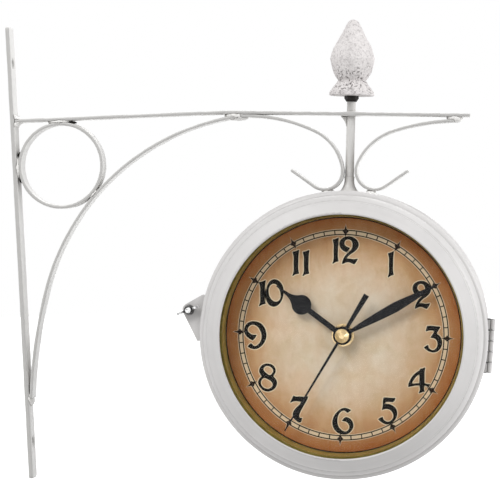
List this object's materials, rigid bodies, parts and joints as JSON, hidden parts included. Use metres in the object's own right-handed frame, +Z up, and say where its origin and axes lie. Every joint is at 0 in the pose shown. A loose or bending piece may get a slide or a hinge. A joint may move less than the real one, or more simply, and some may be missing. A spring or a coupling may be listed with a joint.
{
  "type": "double sided station clock",
  "caption": "Round station clock with a dial on each side, hung from a flat-iron wall bracket with a ring, an arch brace, scrolls and a bud finial; its cover opens on a hinge.",
  "frame": {"origin": "midway between the two wall screw holes, on the back face of the wall bar", "axes": "+X away from the wall along the arm, +Z up, -Y out of the front dial"},
  "size_m": [0.3057, 0.078, 0.2992],
  "materials": {
    "bracket_paint": "satin white paint over wrought iron strip",
    "case_paint": "satin white paint on pressed steel",
    "finial_paint": "rough white paint on a casting",
    "dark_steel": "dark oily steel",
    "zinc_steel": "zinc plated",
    "bright_screw": "bright plated",
    "glass": "clear flat glass",
    "olive_brass": "satin olive brass",
    "dial_face": "printed, aged cream to tan",
    "black_plastic": "moulded black plastic",
    "knob_plastic": "moulded black plastic",
    "battery": "printed sleeve, plain",
    "brass": "polished brass",
    "hand_black": "black enamel"
  },
  "bodies": {
    "bracket": {"wall_bar": "bracket_paint", "arm": "bracket_paint", "bracket_ring": "bracket_paint", "arch_brace": "bracket_paint", "scroll_left": "bracket_paint", "scroll_right": "bracket_paint", "post": "bracket_paint", "finial": "finial_paint", "finial_nut": "dark_steel", "post_washer": "zinc_steel", "post_nut": "zinc_steel", "post_foot": "bracket_paint", "arm_gusset": "bracket_paint", "rear_case": "case_paint", "rear_glass": "glass", "rear_spacer_ring": "olive_brass", "rear_dial": "dial_face", "rear_dial_clips": "zinc_steel", "rear_movement_lid": "black_plastic", "rear_movement_housing": "black_plastic", "rear_centre_bush": "brass", "rear_dial_washer": "brass", "rear_dial_nut": "brass", "rear_battery": "battery", "rear_battery_contacts": "zinc_steel", "hinge_pin": "zinc_steel", "case_hinge_leaf": "case_paint", "case_lug": "case_paint", "bracket_welds": "bracket_paint"},
    "cover": {"front_cover": "case_paint", "front_glass": "glass", "front_spacer_ring": "olive_brass", "front_dial": "dial_face", "front_dial_clips": "zinc_steel", "front_movement_lid": "black_plastic", "front_movement_housing": "black_plastic", "front_centre_bush": "brass", "front_dial_washer": "brass", "front_dial_nut": "brass", "front_battery": "battery", "front_battery_contacts": "zinc_steel", "cover_hinge_leaf": "case_paint", "cover_lug": "case_paint"},
    "latch_screw": {"latch_wing_screw": "bright_screw", "latch_snap_ring": "zinc_steel"},
    "front_second": {"front_second_hand": "hand_black", "front_brass_cap": "brass"},
    "front_minute": {"front_minute_hand": "hand_black"},
    "front_hour": {"front_hour_hand": "hand_black"},
    "front_knob": {"front_setting_knob": "knob_plastic"},
    "rear_second": {"rear_second_hand": "hand_black", "rear_brass_cap": "brass"},
    "rear_minute": {"rear_minute_hand": "hand_black"},
    "rear_hour": {"rear_hour_hand": "hand_black"},
    "rear_knob": {"rear_setting_knob": "knob_plastic"}
  },
  "joints": [
    {"name": "cover_hinge", "type": "hinge", "parent": "bracket", "child": "cover", "pos_m": [0.30187, -0.012, -0.07281], "axis": [0.1219, 0, 0.9925], "range_deg": [0, 120]},
    {"name": "latch_screw_turn", "type": "hinge", "parent": "cover", "child": "latch_screw", "pos_m": [0.11233, -0.0156, -0.0413], "axis": [0, -1, 0], "continuous": true},
    {"name": "front_second_hand_turn", "type": "hinge", "parent": "cover", "child": "front_second", "pos_m": [0.20996, 0, -0.06152], "axis": [0, 1, 0], "continuous": true},
    {"name": "front_minute_hand_turn", "type": "hinge", "parent": "cover", "child": "front_minute", "pos_m": [0.20996, 0, -0.06152], "axis": [0, 1, 0], "continuous": true},
    {"name": "front_hour_hand_turn", "type": "hinge", "parent": "cover", "child": "front_hour", "pos_m": [0.20996, 0, -0.06152], "axis": [0, 1, 0], "continuous": true},
    {"name": "front_setting_knob_turn", "type": "hinge", "parent": "cover", "child": "front_knob", "pos_m": [0.20996, 0, -0.06152], "axis": [0, 1, 0], "continuous": true},
    {"name": "rear_second_hand_turn", "type": "hinge", "parent": "bracket", "child": "rear_second", "pos_m": [0.20996, 0, -0.06152], "axis": [0, -1, 0], "continuous": true},
    {"name": "rear_minute_hand_turn", "type": "hinge", "parent": "bracket", "child": "rear_minute", "pos_m": [0.20996, 0, -0.06152], "axis": [0, -1, 0], "continuous": true},
    {"name": "rear_hour_hand_turn", "type": "hinge", "parent": "bracket", "child": "rear_hour", "pos_m": [0.20996, 0, -0.06152], "axis": [0, -1, 0], "continuous": true},
    {"name": "rear_setting_knob_turn", "type": "hinge", "parent": "bracket", "child": "rear_knob", "pos_m": [0.20996, 0, -0.06152], "axis": [0, -1, 0], "continuous": true}
  ],
  "couplings": [
    {"joint": "front_minute_hand_turn", "follows": "front_second_hand_turn", "ratio": 0.016667},
    {"joint": "front_hour_hand_turn", "follows": "front_second_hand_turn", "ratio": 0.0013889},
    {"joint": "front_setting_knob_turn", "follows": "front_second_hand_turn", "ratio": 0.016667},
    {"joint": "rear_minute_hand_turn", "follows": "rear_second_hand_turn", "ratio": 0.016667},
    {"joint": "rear_hour_hand_turn", "follows": "rear_second_hand_turn", "ratio": 0.0013889},
    {"joint": "rear_setting_knob_turn", "follows": "rear_second_hand_turn", "ratio": 0.016667}
  ]
}
